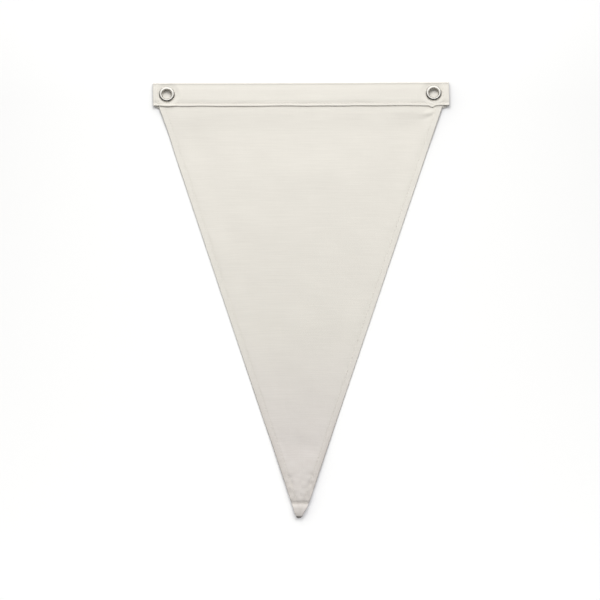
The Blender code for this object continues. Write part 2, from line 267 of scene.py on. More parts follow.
CREASES = [
    {"x": 128.5, "y": 183.8, "long": 5, "wide": 1.8, "turn": 24, "high": -0.35},
    {"x": 128.5, "y": 188.3, "long": 6.5, "wide": 2.0, "turn": 16, "high": 0.85},
    {"x": 5, "y": -136, "long": 12, "wide": 7, "turn": -12, "high": 0.2},
    {"x": 8, "y": -147, "long": 13, "wide": 7, "turn": -12, "high": -0.25},
    {"x": 0, "y": -148.5, "long": 90, "wide": 16.5, "turn": 0, "high": -0.9},
    {"x": 0, "y": -196, "long": 40, "wide": 14, "turn": 0, "high": 0.5},
    {"x": -60, "y": 60, "long": 70, "wide": 22, "turn": 20, "high": 0.4},
    {"x": 45, "y": -20, "long": 60, "wide": 18, "turn": -35, "high": 0.35},
    {"x": 20, "y": 130, "long": 80, "wide": 20, "turn": 6, "high": 0.55},
]
# Where the folded point's corners pull at the face
TIP_PINCHES = [(-11.4, -179), (-9.2, -184.5), (11.2, -176.8), (10, -184.5), (12, -189)]


def crease_height(x, y):
    """All the named creases together."""
    total = 0
    for crease in CREASES:
        turn = math.radians(crease["turn"])
        dx, dy = x / MM - crease["x"], y / MM - crease["y"]
        along = dx * math.cos(turn) + dy * math.sin(turn)
        across = dy * math.cos(turn) - dx * math.sin(turn)
        total = total + crease["high"] * MM * hump(0, crease["long"], along) * hump(0, crease["wide"], across)
    return total


def panel_lift(x, y):
    """How far the panel's hems are off the surface: under the heading's ends, and at the tip."""
    to_right = ease(0, 100 * MM, x)
    right_edge = RIGHT_EDGE - RIGHT_CLOSING * (EDGE_LEVEL - y)
    curl = ease(right_edge - 20 * MM, right_edge - 3 * MM, x) * to_right
    end = 191 * MM + 0.05 * to_right * (x - 110 * MM)
    short = 0.35 * to_right * (1 - curl)  # the share of the rise that comes only just below the heading
    rise = (1 - short) * ease((150 - 10 * to_right) * MM, end, y) + short * ease(181 * MM, end, y)
    lift = heading_lift(x) * rise + 0.5 * MM * curl * hump(170 * MM, 13 * MM, y)
    return lift + TIP_CURL * ease(105 * MM, -TIP_LEVEL, -y)


def panel_face(x, y, inset):
    """The face's height without its small marks."""
    lift = panel_lift(x, y)
    sag = SAG * ease(HEM_WIDTH, HEM_WIDTH + 22 * MM, inset)
    free = HEM_STACK - sag

    # The tip: a seam across it, a plump band past the seam, and a fall towards the nose
    bent = CREASE_LEVEL + 0.35 * MM * ripples(x, 0 * y, 9 * MM, seed=31)
    free = free + TIP_PLUMP * (1 - ease(bent - 7.5 * MM, bent - 2 * MM, y))
    free = free - TIP_GROOVE * hump(bent - TIP_SEAM_DROP, 2.3 * MM, y)
    free = free - NOSE_FALL * ease(212 * MM, 218.5 * MM, -y)
    for pinch_x, pinch_y in TIP_PINCHES:
        free = free - PINCH_DEPTH * hump(pinch_x * MM, 2.1 * MM, x) * hump(pinch_y * MM, 2.6 * MM, y)
    joined = ease(168 * MM, 193 * MM, y)
    creases = crease_height(x, y) * ease(3 * MM, 12 * MM, inset) * (1 - ease(190 * MM, 194 * MM, y))
    return lift + HEADING_PAD * joined + free * (1 - joined) + creases


def panel_marks(x, y, inset):
    """The small marks on the face: the hems' seams, the puckers beside them, and slack all over."""
    groove = (0.12 + 0.12 * ease(0, 170 * MM, -y)) * MM
    seam = -groove * hump(HEM_SEAM, 1.2 * MM, inset) * ease(CREASE_LEVEL, CREASE_LEVEL + 4 * MM, y)
    beside = ease(HEM_SEAM, HEM_SEAM + 2 * MM, inset) * (1 - ease(HEM_SEAM + 3 * MM, HEM_SEAM + 18 * MM, inset))
    puckers = 0.05 * MM * ripples(x, y, 13 * MM, seed=21) * beside
    under_heading = 0.05 * MM * ripples(x, 0 * y, 15 * MM, seed=22) * ease(176 * MM, 192 * MM, y)
    drawn = 0.13 * MM * ripples(x, y, 6 * MM, seed=24) * ease(165 * MM, 185 * MM, -y)
    drawn = drawn * (1 - ease(196 * MM, 204 * MM, -y))
    slack = 0.12 * MM * ripples(x, y, 46 * MM, seed=23) * ease(HEM_WIDTH, HEM_WIDTH + 14 * MM, inset)
    return seam + puckers + under_heading + drawn + slack * (1 - ease(176 * MM, 190 * MM, y))


on_hem, in_middle = panel_face(-78 * MM, 0, 0), panel_face(0, 0, 77 * MM)
print("halfway down:", round(float(on_hem) / MM, 2), "mm high at a hem,", round(float(in_middle) / MM, 2), "between")

# %% [markdown]
# ## Building cloth from sections
#
# Cloth has thickness, and folded cloth shows it at every edge. So each piece is built the way a loft is: the cloth's
# middle line is drawn as a section, and `ribbon` gives it thickness with rounded raw edges. A plane with a Solidify
# modifier would be quicker, but it can't turn a hem under and keep an even thickness at the fold.

# %% From a middle line to a ribbon
CAP_STEPS = (60, 20, -20, -60)  # the angles of the points round a raw edge


def between(start, end, count):
    """Evenly spaced numbers, with both ends among them."""
    return np.linspace(start, end, count)


def ribbon(middle, thickness):
    """The closed outline of a strip of this thickness along a middle line of (u, w) points."""
    middle = np.asarray(middle)
    along = np.gradient(middle, axis=0)
    along /= np.linalg.norm(along, axis=1)[:, None]
    normal = np.stack([-along[:, 1], along[:, 0]], axis=1)
    half = thickness / 2

    def cap(i, way):
        return [
            middle[i] + half * (way * along[i] * math.cos(t) + way * normal[i] * math.sin(t))
            for t in (math.radians(step) for step in CAP_STEPS)
        ]

    outer, inner = middle + normal * half, middle - normal * half
    return np.concatenate([outer, cap(-1, 1), inner[::-1], cap(0, -1)])


print("a strip of two points has an outline of", len(ribbon([(0, 0), (1, 0)], 0.1)), "points")

# %% [markdown]
# ### From ribbons to a skin
#
# `skin` joins the ribbons of neighbouring places into one closed mesh, with strips of four-sided faces between them
# and the first and last ribbon filled in. Blender's own command then turns all faces outwards. Shading is smooth,
# but for edges sharper than a bend in cloth could be.

# %% Skin
SHARP = math.radians(60)


def new_piece(name, mesh):
    """An object for this mesh, in the scene and active."""
    piece = bpy.data.objects.new(name, mesh)
    bpy.context.scene.collection.objects.link(piece)
    bpy.context.view_layer.objects.active = piece
    return piece


def closed_piece(name, points, faces, material):
    """A smooth piece of these points and faces, all of them turned outwards."""
    mesh = bpy.data.meshes.new(name)
    mesh.from_pydata(points, [], faces)
    mesh.validate()
    piece = new_piece(name, mesh)
    bpy.ops.object.mode_set(mode="EDIT")
    bpy.ops.mesh.select_all(action="SELECT")
    bpy.ops.mesh.normals_make_consistent(inside=False)
    bpy.ops.object.mode_set(mode="OBJECT")
    mesh.shade_smooth()
    mesh.materials.append(material)
    return piece


def skin(name, rings, length, material):
    """One closed mesh through rings that ribbon made along middle lines of this many points."""
    rings = np.asarray(rings)
    rows, size = rings.shape[:2]
    start = np.arange(rows - 1)[:, None] * size
    i, j = np.arange(size), (np.arange(size) + 1) % size
    sides = np.stack([start + i, start + j, start + size + j, start + size + i], axis=2).reshape(-1, 4)
    faces = sides.tolist()
    caps = len(CAP_STEPS)
    for base in (0, (rows - 1) * size):
        partner = [base + length + caps + (length - 1 - k) for k in range(length)]
        ends = [[base + k, base + k + 1, partner[k + 1], partner[k]] for k in range(length - 1)]
        ends.append([base + length - 1, *range(base + length, base + length + caps), partner[-1]])
        ends.append([partner[0], *range(base + size - caps, base + size), base])
        faces += ends if base == 0 else [face[::-1] for face in ends]
    piece = closed_piece(name, rings.reshape(-1, 3).tolist(), faces, material)
    piece.data.set_sharp_from_angle(angle=SHARP)
    print(name, "has", len(piece.data.polygons), "faces")
    return piece


# %% [markdown]
# ## Materials
#
# Colours are picked from how the real material looks and written as sRGB hex, the way paint programs do. Shaders
# work in linear light, so `linear` turns one into the other. `add` puts one node into a tree, with its settings and
# the links into it. Most of the nodes are sums worked out at every place, so their settings get names here.

# %% Colour and node helpers
MULTIPLY, MULTIPLY_ADD = {"operation": "MULTIPLY"}, {"operation": "MULTIPLY_ADD"}
SUBTRACT, ABSOLUTE = {"operation": "SUBTRACT"}, {"operation": "ABSOLUTE"}


def linear(hex_colour):
    """An sRGB hex colour in linear light."""
    channels = [int(hex_colour[i : i + 2], 16) / 255 for i in (1, 3, 5)]
    return [c / 12.92 if c <= 0.04045 else ((c + 0.055) / 1.055) ** 2.4 for c in channels] + [1.0]


def add(tree, kind, settings=None, **inputs):
    """One node: its settings, and its inputs as values or as the sockets that feed them. Digits pick by number."""
    node = tree.nodes.new(kind)
    for key, value in (settings or {}).items():
        setattr(node, key, value)
    for key, value in inputs.items():
        number = key.lstrip("_")
        socket = node.inputs[int(number)] if number.isdigit() else node.inputs[key.replace("_", " ")]
        if isinstance(value, bpy.types.NodeSocket):
            tree.links.new(value, socket)
        else:
            socket.default_value = value
    return node


def new_material(name, **values):
    """A material, its tree and its shader, with these values set."""
    material = bpy.data.materials.new(name)
    material.use_nodes = True
    shader = material.node_tree.nodes["Principled BSDF"]
    for key, value in values.items():
        shader.inputs[key.replace("_", " ")].default_value = value
    return material, material.node_tree, shader


print("middle grey in linear light:", round(linear("#808080")[0], 3))

# %% [markdown]
# ### Plain-woven cotton canvas
#
# Canvas is a plain weave of thick, unbleached cotton yarn, one over and one under, with about 18 threads to the
# centimetre. It is matt all over. Its yarn is spun unevenly, so thick places called slubs run along the weft as faint
# light streaks a few centimetres long, and these are what the eye sees from a step away. The thread grid itself is
# drawn at its real spacing as a bump, and the slubs as stretched noise, in colour and in bump. A noise whose scale is
# 1 over a length in metres has marks of about that length. Height is added to both flat axes, so that the pattern
# carries on round folded edges.

# %% Clean canvas
THREAD_SPACING = 0.55 * MM
THREAD_BUMP = 0.08 * MM
SLUB_BUMP = 0.10 * MM
SLUB_HEIGHT = 1.1 * MM
SLUB_LENGTH = 42 * MM
CLOUD_SCALE = 28.0  # 1 over 36 mm
WARP_SHARE, CLOUD_SHARE = 0.15, 0.35  # beside the slubs of the weft


def cotton_canvas(name, pale, dark, warm):
    """A canvas in these three colours, with what later cells need to tone it further."""
    material, tree, shader = new_material(
        name, Roughness=0.92, Specular_IOR_Level=0.3, Sheen_Weight=0.15, Sheen_Roughness=0.6
    )
    place = add(tree, "ShaderNodeTexCoord").outputs["Object"]
    axes = add(tree, "ShaderNodeSeparateXYZ", Vector=place).outputs
    across = add(tree, "ShaderNodeMath", _0=axes["X"], _1=axes["Z"]).outputs[0]
    along = add(tree, "ShaderNodeMath", _0=axes["Y"], _1=axes["Z"]).outputs[0]
    flat = add(tree, "ShaderNodeCombineXYZ", X=across, Y=along).outputs[0]

    # Slubs in the weft, fainter ones in the warp, and clouds where the cloth took its wash unevenly
    weft = add(tree, "ShaderNodeMapping", Vector=flat, Scale=(1 / SLUB_LENGTH, 1 / SLUB_HEIGHT, 1)).outputs[0]
    weft_slubs = add(tree, "ShaderNodeTexNoise", Vector=weft, Scale=1.0, Detail=3.0, Roughness=0.55).outputs["Fac"]
    warp = add(tree, "ShaderNodeMapping", Vector=flat, Scale=(1 / SLUB_HEIGHT, 0.7 / SLUB_LENGTH, 1)).outputs[0]
    warp_slubs = add(tree, "ShaderNodeTexNoise", Vector=warp, Scale=1.0, Detail=2.0, Roughness=0.5).outputs["Fac"]
    clouds = add(tree, "ShaderNodeTexNoise", Vector=flat, Scale=CLOUD_SCALE, Detail=2.0, Roughness=0.6).outputs["Fac"]
    yarn = add(tree, "ShaderNodeMath", MULTIPLY_ADD, _0=warp_slubs, _1=WARP_SHARE, _2=weft_slubs).outputs[0]
    mottle = add(tree, "ShaderNodeMath", MULTIPLY_ADD, _0=clouds, _1=CLOUD_SHARE, _2=yarn).outputs[0]
    ramp = add(tree, "ShaderNodeValToRGB", Fac=mottle)
    stops = ramp.color_ramp.elements
    stops[0].position, stops[0].color = 0.45, linear(dark)
    stops[1].position, stops[1].color = 1.0, linear(pale)
    stops.new(0.75).color = linear(warm)
    colour = ramp.outputs["Color"]
    tree.links.new(colour, shader.inputs["Base Color"])

    # One over, one under: two sets of rounded threads, each on top in every other square
    waves = []
    for axis in (across, along):
        phase = add(tree, "ShaderNodeMath", MULTIPLY, _0=axis, _1=math.pi / THREAD_SPACING).outputs[0]
        waves.append(add(tree, "ShaderNodeMath", {"operation": "SINE"}, _0=phase).outputs[0])
    weave = add(tree, "ShaderNodeMath", MULTIPLY, _0=waves[0], _1=waves[1]).outputs[0]
    grid = add(tree, "ShaderNodeBump", Strength=0.5, Distance=THREAD_BUMP, Height=weave).outputs[0]
    bump = add(tree, "ShaderNodeBump", Strength=0.6, Distance=SLUB_BUMP, Height=yarn, Normal=grid).outputs[0]
    tree.links.new(bump, shader.inputs["Normal"])
    return material, axes, flat, colour


panel_canvas, panel_axes, panel_flat, clean = cotton_canvas(
    "plain_woven_cotton_canvas", pale="#eae6dd", dark="#e4e0d7", warm="#e7e3da"
)
heading_canvas = cotton_canvas("pressed_cotton_canvas", pale="#e7e3da", dark="#e3dfd6", warm="#e5e1d8")[0]
print("canvas:", round(10 * MM / THREAD_SPACING), "threads to the centimetre")

# %% [markdown]
# ### Painted shade and soil
#
# A flag is taken hold of by its free end, so near the point there are faint soiled patches drawn out along the weft.
# From the middle down the panel is painted a trace greyer, as painted shade where the light falls off towards the
# point, and the hems there are painted a little darker, most along their seams, as painted shade at the lifted hem
# edges and in the seams' grooves. Each of these multiplies the colour by a pale tone, so where a tone's share is 0
# the clean canvas is left as it was. How far a place is inside the nearer side comes from the mean of the two sides'
# slopes, so one sum does for both hems.

# %% Painted shade and soil on the canvas
PATCH_LENGTH, PATCH_HEIGHT = 16 * MM, 6 * MM
# The first tone and the third are painted shade, for the light's fall-off low down and for the hems; the second is soil
PAINTED_FALLOFF_TONE = "#faf8fc"
SOILED_TONE = "#faf9f8"
PAINTED_HEM_SHADE_TONE = "#f3f2f0"
MEAN_CLOSING = 0.335
MEAN_HALF = 77.4 * MM  # half the panel's width halfway down it
MIDDLE_TO_LEFT = 0.8 * MM  # its middle is this far to the left there
HEM_SHADE_REACH = 7 * MM
PAINTED_SEAM_SHADE_REACH, PAINTED_SEAM_SHADE = 1.8 * MM, 0.4


def shaded_and_soiled_cloth(tree, axes, flat, colour):
    """The panel's colour: painted shade greyer low down, soiled near the point, and painted shade on the hems."""
    tint = {"data_type": "RGBA", "blend_type": "MULTIPLY"}
    # Painted shade: greyer from the middle down, where the light falls off towards the point
    low = add(tree, "ShaderNodeMapRange", _0=axes["Y"], _1=-28 * MM, _2=-150 * MM).outputs[0]
    colour = add(tree, "ShaderNodeMix", tint, _0=low, _6=colour, _7=linear(PAINTED_FALLOFF_TONE)).outputs[2]

    drawn_out = add(tree, "ShaderNodeMapping", Vector=flat, Scale=(1 / PATCH_LENGTH, 1 / PATCH_HEIGHT, 1)).outputs[0]
    blots = add(tree, "ShaderNodeTexNoise", Vector=drawn_out, Scale=1.0, Detail=3.0, Roughness=0.6).outputs["Fac"]
    blotted = add(tree, "ShaderNodeMapRange", _0=blots, _1=0.4, _2=0.75).outputs[0]
    near_point = add(tree, "ShaderNodeMapRange", _0=axes["Y"], _1=-90 * MM, _2=-180 * MM, _3=0.2).outputs[0]
    soiled = add(tree, "ShaderNodeMath", MULTIPLY, _0=blotted, _1=near_point).outputs[0]
    colour = add(tree, "ShaderNodeMix", tint, _0=soiled, _6=colour, _7=linear(SOILED_TONE)).outputs[2]

    sideways = add(tree, "ShaderNodeMath", _0=axes["X"], _1=MIDDLE_TO_LEFT).outputs[0]
    from_middle = add(tree, "ShaderNodeMath", ABSOLUTE, _0=sideways).outputs[0]
    half = add(tree, "ShaderNodeMath", MULTIPLY_ADD, _0=axes["Y"], _1=MEAN_CLOSING, _2=MEAN_HALF).outputs[0]
    inset = add(tree, "ShaderNodeMath", SUBTRACT, _0=half, _1=from_middle).outputs[0]

    # Painted shade on the hems low down, where the lifted hem edges shade the cloth
    on_hem = add(tree, "ShaderNodeMapRange", _0=inset, _1=HEM_SHADE_REACH, _2=0).outputs[0]
    low = add(tree, "ShaderNodeMapRange", _0=axes["Y"], _1=-60 * MM, _2=-150 * MM).outputs[0]
    above_crease = add(tree, "ShaderNodeMapRange", _0=axes["Y"], _1=-206 * MM, _2=-201 * MM).outputs[0]
    low_hem = add(tree, "ShaderNodeMath", MULTIPLY, _0=low, _1=above_crease).outputs[0]
    painted_hem_shade = add(tree, "ShaderNodeMath", MULTIPLY, _0=on_hem, _1=low_hem).outputs[0]
    colour = add(tree, "ShaderNodeMix", tint, _0=painted_hem_shade, _6=colour, _7=linear(PAINTED_HEM_SHADE_TONE)).outputs[2]

    # Painted shade along the hems' seams, for the shade of their grooves and stitches
    aside = add(tree, "ShaderNodeMath", SUBTRACT, _0=inset, _1=HEM_SEAM + 0.4 * MM).outputs[0]
    from_seam = add(tree, "ShaderNodeMath", ABSOLUTE, _0=aside).outputs[0]
    near_seam = add(tree, "ShaderNodeMapRange", _0=from_seam, _1=PAINTED_SEAM_SHADE_REACH, _2=0).outputs[0]
    lower = add(tree, "ShaderNodeMapRange", _0=axes["Y"], _1=-20 * MM, _2=-190 * MM, _4=PAINTED_SEAM_SHADE).outputs[0]
    painted_seam_shade = add(tree, "ShaderNodeMath", MULTIPLY, _0=near_seam, _1=lower).outputs[0]
    return add(tree, "ShaderNodeMix", tint, _0=painted_seam_shade, _6=colour, _7=linear(PAINTED_HEM_SHADE_TONE)).outputs[2]


panel_tree = panel_canvas.node_tree
shaded_and_soiled = shaded_and_soiled_cloth(panel_tree, panel_axes, panel_flat, clean)
panel_tree.links.new(shaded_and_soiled, panel_tree.nodes["Principled BSDF"].inputs["Base Color"])
print("panel's canvas:", len(panel_tree.nodes), "nodes")

# %% [markdown]
# ### Cotton sewing thread
#
# The seams are sewn tone on tone. A thread is harder twisted than the canvas yarn, so it has a little more shine and
# a fine slanting twist, drawn here as bands across each stitch.

# %% Thread
TWIST_BUMP = 0.05 * MM
TWIST_SCALE = 900.0  # a band every 0.7 mm


def cotton_thread():
    material, tree, shader = new_material(
        "spun_cotton_thread", Base_Color=linear("#e3dfd6"), Roughness=0.75, Sheen_Weight=0.2
    )
    place = add(tree, "ShaderNodeTexCoord").outputs["Object"]
    slanting = {"bands_direction": "DIAGONAL"}
    twist = add(tree, "ShaderNodeTexWave", slanting, Vector=place, Scale=TWIST_SCALE, Distortion=1.5).outputs["Fac"]
    bump = add(tree, "ShaderNodeBump", Strength=0.4, Distance=TWIST_BUMP, Height=twist).outputs[0]
    tree.links.new(bump, shader.inputs["Normal"])
    return material


thread = cotton_thread()
print("thread:", thread.name)

# %% [markdown]
# ### Nickel-plated pressed brass
#
# Eyelets are pressed from thin brass and barrel-plated with nickel. The plating is bright but not a mirror: tumbling
# leaves it softly brushed in every direction, so its reflections are blurred and a little uneven. The metal's colour
# follows the height: pale on the dome and on the curled end behind, and painted dark in the barrel between, as painted
# shade inside the hole.

# %% Nickel
RUB_BUMP = 0.05 * MM
RUB_SCALE = 700.0  # 1 over 1.4 mm
RAMP_TOP = 8.0  # millimetres up from the surface, a little over the dome
# The barrel is painted dark between these heights, as painted shade inside the hole
SHADED_BARREL_FROM, SHADED_BARREL_TO = 1.8, 5.1  # and where the metal is dark


def nickel_plate():
    material, tree, shader = new_material("nickel_plated_brass", Metallic=1.0)
    place = add(tree, "ShaderNodeTexCoord").outputs["Object"]
    height = add(tree, "ShaderNodeSeparateXYZ", Vector=place).outputs["Z"]
    rubs = add(tree, "ShaderNodeTexNoise", Vector=place, Scale=RUB_SCALE, Detail=4.0, Roughness=0.6).outputs["Fac"]
    roughness = add(tree, "ShaderNodeMapRange", _0=rubs, _1=0.3, _2=0.7, _3=0.16, _4=0.32).outputs[0]
    tree.links.new(roughness, shader.inputs["Roughness"])
    bump = add(tree, "ShaderNodeBump", Strength=0.12, Distance=RUB_BUMP, Height=rubs).outputs[0]
    tree.links.new(bump, shader.inputs["Normal"])
    share = add(tree, "ShaderNodeMapRange", _0=height, _1=0, _2=RAMP_TOP * MM).outputs[0]
    ramp = add(tree, "ShaderNodeValToRGB", Fac=share)
    stops = ramp.color_ramp.elements
    stops[0].position, stops[0].color = (SHADED_BARREL_FROM - 0.6) / RAMP_TOP, linear("#e6e3dc")
    stops[1].position, stops[1].color = (SHADED_BARREL_TO + 0.4) / RAMP_TOP, linear("#ebe8e1")
    # Dark stops in the barrel: painted shade
    for level in (SHADED_BARREL_FROM, SHADED_BARREL_TO):
        stops.new(level / RAMP_TOP).color = linear("#6f6a60")
    tree.links.new(ramp.outputs["Color"], shader.inputs["Base Color"])
    return material


nickel = nickel_plate()
print("metal:", nickel.name)

# %% [markdown]
# ## The panel
#
# The panel is cut as one triangle. Each side is turned twice to the back, so the raw edge is hidden inside a hem of
# three layers, and the point is folded up behind. The middle line of each section therefore starts at one raw edge,
# runs inside the hem to its inner fold, back out to the side, round it, and across the face to the same on the other
# side. At the end of the flag the sections turn over and come back up, which makes the folded point.

# %% Sections of the panel
CANVAS = 0.62 * MM  # one layer
HEM_PITCH = 0.69 * MM  # from layer to layer in a hem
PANEL_TOP = 200.4 * MM  # it ends here inside the heading, just clear of the eyelets
FACE_REACH = 26 * MM  # the face has closer columns this far in, at these insets in millimetres
FACE_INSETS = [1.6, 2.6, 3.6, 4.4, 5.0, 5.5, 6.0, 6.5, 7.0, 7.6, 8.3, 9.2, 10.6, 12.4, 14.8, 18, 22, 26]
MIDDLE_COLUMNS = 60


def ellipse(centre, radii, start, end, count):
    """Points along an ellipse, between two angles in degrees."""
    turns = np.radians(between(start, end, count))
    return [(centre[0] + radii[0] * math.cos(t), centre[1] + radii[1] * math.sin(t)) for t in turns]


def arc(centre, radius, start, end, count):
    return ellipse(centre, (radius, radius), start, end, count)


def hem_line(hem, layer, pitch, pressed):
    """Middle line of a hem as (inset, depth below the face), from the raw edge to the start of the face."""
    first = layer / 2
    line = [(hem * share, first + pitch) for share in (0.4, 0.65, 0.85)]
    line += arc((hem - layer / 2 - pitch / 2, first + 1.5 * pitch), pitch / 2, -90, 90, 5)
    line += [(hem * share, first + 2 * pitch) for share in (0.8, 0.68, 0.62, 0.56, 0.45, 0.3)]
    line += ellipse((first + pitch * pressed, first + pitch), (pitch * pressed, pitch), 90, 270, 9)
    return line


def panel_line(left, right, squash, pressed=1.0):
    """Middle line across the panel: x and depth of its points, and the thickness of the cloth there."""
    half = (right - left) / 2
    reach = min(FACE_REACH, 0.85 * half)
    hem = min(HEM_WIDTH, 0.75 * reach)
    layer, pitch = CANVAS * squash, min(HEM_PITCH * squash, 0.3 * half)
    side = hem_line(hem, layer, pitch, pressed)
    first = side[-1][0]
    scale = (reach - first) / (FACE_REACH - first)
    side += [(first + (inset * MM - first) * scale, layer / 2) for inset in FACE_INSETS if inset * MM > first]
    middle = between(left + reach, right - reach, MIDDLE_COLUMNS + 2)[1:-1]
    xs = [left + inset for inset, _ in side] + list(middle) + [right - inset for inset, _ in reversed(side)]
    depths = [depth for _, depth in side]
    return np.array(xs), np.array(depths + [layer / 2] * MIDDLE_COLUMNS + depths[::-1]), layer


print("one hem:", round((CANVAS + 2 * HEM_PITCH) / MM, 2), "mm thick")

# %% [markdown]
# ### Rows down the panel
#
# One section is drawn at each of some 270 levels. They are closest where the shape turns quickest: inside the
# heading, above the point and round its nose. `squash_at` thins the layers where the seams press them together. Past
# the nose the same section lies upside down and runs back up, so the folded point grows out of the face as it does in
# cloth.

# %% Rows of the face and of the folded point
NOSE_LENGTH = 3.0 * MM
NOSE_HEIGHT = 2.3 * MM  # from its middle to its top
NOSE_MIDDLE = TIP_LEVEL + NOSE_LENGTH
TIP_SQUASH = 0.6  # the share of its thickness that is left to a layer in the tip
HEADING_SQUASH = 0.42  # the share that is taken from it inside the heading


def squash_at(y):
    """The seams press the layers together inside the heading and in the tip."""
    in_tip = float(ease(185 * MM, 200 * MM, -y))
    in_heading = float(ease(183 * MM, 192 * MM, y))
    return 1 - (1 - TIP_SQUASH) * in_tip - HEADING_SQUASH * in_heading


def face_row(y):
    """A row of the panel's face with its hems, whose outer folds are pressed flatter towards the heading."""
    left, right = side_edges(y)
    pressed = 0.45 + 0.85 * float(ease(0, 160 * MM, -y))
    xs, depths, layer = panel_line(left, right, squash_at(y), pressed)
    insets = np.minimum(xs - left, right - xs)
    marks = panel_marks(xs, y, insets)
    heights = panel_face(xs, y, insets) + marks - depths * (1 + marks / HEM_STACK)
    outline = ribbon(np.stack([xs, heights], axis=1), layer)
    return [(x, y, z) for x, z in outline]


def tip_row(turn, y, left, right, middle):
    """A row of the folded point: turned over by this angle about its middle, or lying upside down behind it."""
    xs, depths, layer = panel_line(left, right, TIP_SQUASH)
    outline = ribbon(np.stack([xs, -depths], axis=1), layer)
    across, up = math.sin(turn), math.cos(turn)
    reach = NOSE_LENGTH * (0.5 - 0.5 * up + 0.22 * across)
    return [(x, y - reach - deep * across, middle + (NOSE_HEIGHT + deep) * up) for x, deep in outline]


print("points in a row:", len(face_row(0)), "of the face,", len(tip_row(math.pi, 0, -10 * MM, 10 * MM, 0)), "behind")

# %% [markdown]
# ### The whole panel
#
# The face's rows come first, from the heading down. At the nose the rows turn over in steps of 12 degrees about
# a line inside the cloth, and the last ones lie behind the face as the folded point, which widens on its way up.

# %% Build the panel
FLAP_LENGTH = 15.5 * MM
FLAP_SPREAD, FLAP_TAPER, FLAP_RISE = 1.1, 0.3, 0.7 * MM

levels = [PANEL_TOP, 198.5 * MM]
levels += list(between(197 * MM, 170 * MM, 25)) + list(between(168.4 * MM, -160 * MM, 190))
levels += list(between(-161.6 * MM, -196 * MM, 22)) + list(between(-197 * MM, NOSE_MIDDLE, 28))
rows = [face_row(level) for level in levels]
nose_top = float(np.mean(panel_face(np.array([-3 * MM, 0, 2 * MM]), NOSE_MIDDLE, 3 * MM)))
middle = nose_top - NOSE_HEIGHT
for angle in between(12, 180, 15):
    turn = math.radians(angle)
    left, right = side_edges(NOSE_MIDDLE - NOSE_LENGTH * (0.5 - 0.5 * math.cos(turn)))
    rows.append(tip_row(turn, NOSE_MIDDLE, left, right, middle))
tip_left, tip_right = side_edges(NOSE_MIDDLE - NOSE_LENGTH)
centre = (tip_left + tip_right) / 2
for share in between(0, 1, 14)[1:]:
    half = (tip_right - tip_left) / 2 * (1 + FLAP_SPREAD * math.sin(math.pi * share) - FLAP_TAPER * share)
    rise = FLAP_RISE * float(ease(0.1, 1, share))
    y = NOSE_MIDDLE + (FLAP_LENGTH + NOSE_LENGTH) * share
    rows.append(tip_row(math.pi, y, centre - half, centre + half, middle + rise))
line_length = (len(rows[0]) - 2 * len(CAP_STEPS)) // 2
panel = skin("canvas_panel", rows, line_length, panel_canvas)

# %% [markdown]
# ## The heading
#
# The heading's section runs the other way, from the back layer's turned-under edge, up the back, over the fold, down
# the front and under again. That turned edge is what makes the plump bright roll along the front, and the seam just
# above it presses a groove. The sections follow each other along the flag's width.

# %% Sections of the heading
LAYER = 0.52 * MM
TURN_PITCH = 0.58 * MM
TURN_UNDER = 6.0 * MM
FOLD_REACH = 0.7 * MM  # the fold along the top is pressed flat
STUFFED = 1.25 * MM  # how far the turned edge behind stands up inside each end


def heading_row(x, squeeze=1.0):
    """The heading's section at one place along the flag, thinned by squeeze at its very ends."""
    low_back, low_front, top = float(back_low(x)), float(front_low(x)), float(top_edge(x))
    fold_radius = (STACK + float(front_rise(x, top - 2 * MM)) - LAYER) / 2
    fold_y, fold_z = top - LAYER / 2 - FOLD_REACH, LAYER / 2 + fold_radius
    edge = TURN_PITCH / 2
    from_end = HALF_WIDTH - abs(x)
    stuffed = STUFFED * float(ease(0, 3 * MM, from_end) * (1 - ease(6 * MM, 8.3 * MM, from_end)))
    line = [
        (low_back + TURN_UNDER * share, LAYER / 2 + TURN_PITCH + stuffed * float(ease(0.1, 0.5, share)))
        for share in (1.0, 0.7, 0.5, 0.4, 0.3, 0.2)
    ]
    line += arc((low_back + LAYER / 2 + edge, LAYER / 2 + edge), edge, 90, 270, 6)
    line += [(y, LAYER / 2) for y in between(low_back + 1.4 * MM, fold_y, 14)]
    line += ellipse((fold_y, fold_z), (FOLD_REACH, fold_radius), -75, 75, 11)
    low = low_front + LAYER / 2 + edge
    ys = np.concatenate([between(fold_y, low_front + 6 * MM, 18), between(low_front + 5.4 * MM, low, 12)])
    line += [(y, STACK + float(front_rise(x, y)) - LAYER / 2) for y in ys]
    line += arc((low, line[-1][1] - edge), edge, 90, 270, 6)[1:]
    ys = low_front + TURN_UNDER * np.array([0.18, 0.26, 0.34, 0.42, 0.5, 0.58, 0.68, 0.84, 1.0])
    line += [(y, STACK + float(front_rise(x, y)) - LAYER / 2 - TURN_PITCH) for y in ys]
    outline = ribbon(line, LAYER * squeeze)
    return [(float(lean(x, y)), y, z + float(heading_lift(lean(x, y)))) for y, z in outline]


print("points in a section of the heading:", len(heading_row(0)))

# %% [markdown]
# ### The whole heading, punched
#
# Sections lie closer together at the two ends, where the cloth's cut edge is rounded, and beside the short seams. The
# eyelet holes are cut out of the finished skin with two cylinders, as a punch does it.

# %% Build the heading
EDGE_ROUNDING = 0.26 * MM
EDGE_THIN = 0.45  # the share of its thickness that the cloth has at the very end
PUNCH_RADIUS = 6.3 * MM

